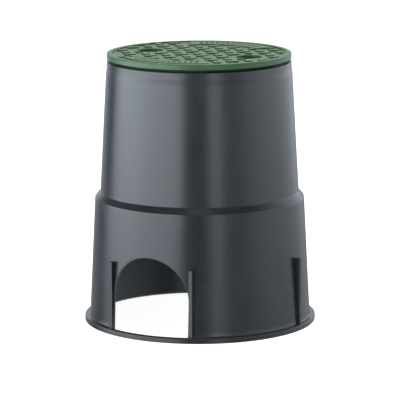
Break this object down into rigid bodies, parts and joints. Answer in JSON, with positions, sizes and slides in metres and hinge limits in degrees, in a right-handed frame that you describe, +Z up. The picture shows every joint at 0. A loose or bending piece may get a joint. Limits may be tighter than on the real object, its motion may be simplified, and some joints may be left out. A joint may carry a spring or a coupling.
{
  "type": "irrigation valve box",
  "caption": "Round tapered valve box with a stepped wall, foot flange, opposite pipe arches and a lift-off lid with a raised tread and finger holes.",
  "frame": {"origin": "centre of the base, on the surface that the box stands on", "axes": "+Z up along the box's axis; the pipe arches face -Y and +Y, and the lid's finger holes lie along X"},
  "size_m": [0.1978, 0.1978, 0.23],
  "materials": {
    "body_plastic": "black moulded polypropylene, satin",
    "lid_plastic": "green moulded polypropylene, satin"
  },
  "bodies": {
    "box": {"box_body": "body_plastic"},
    "lid": {"lid": "lid_plastic"}
  },
  "joints": [
    {"name": "lid_lift", "type": "slide", "parent": "box", "child": "lid", "axis": [0, 0, 1], "range_m": [0, 0.06]}
  ]
}
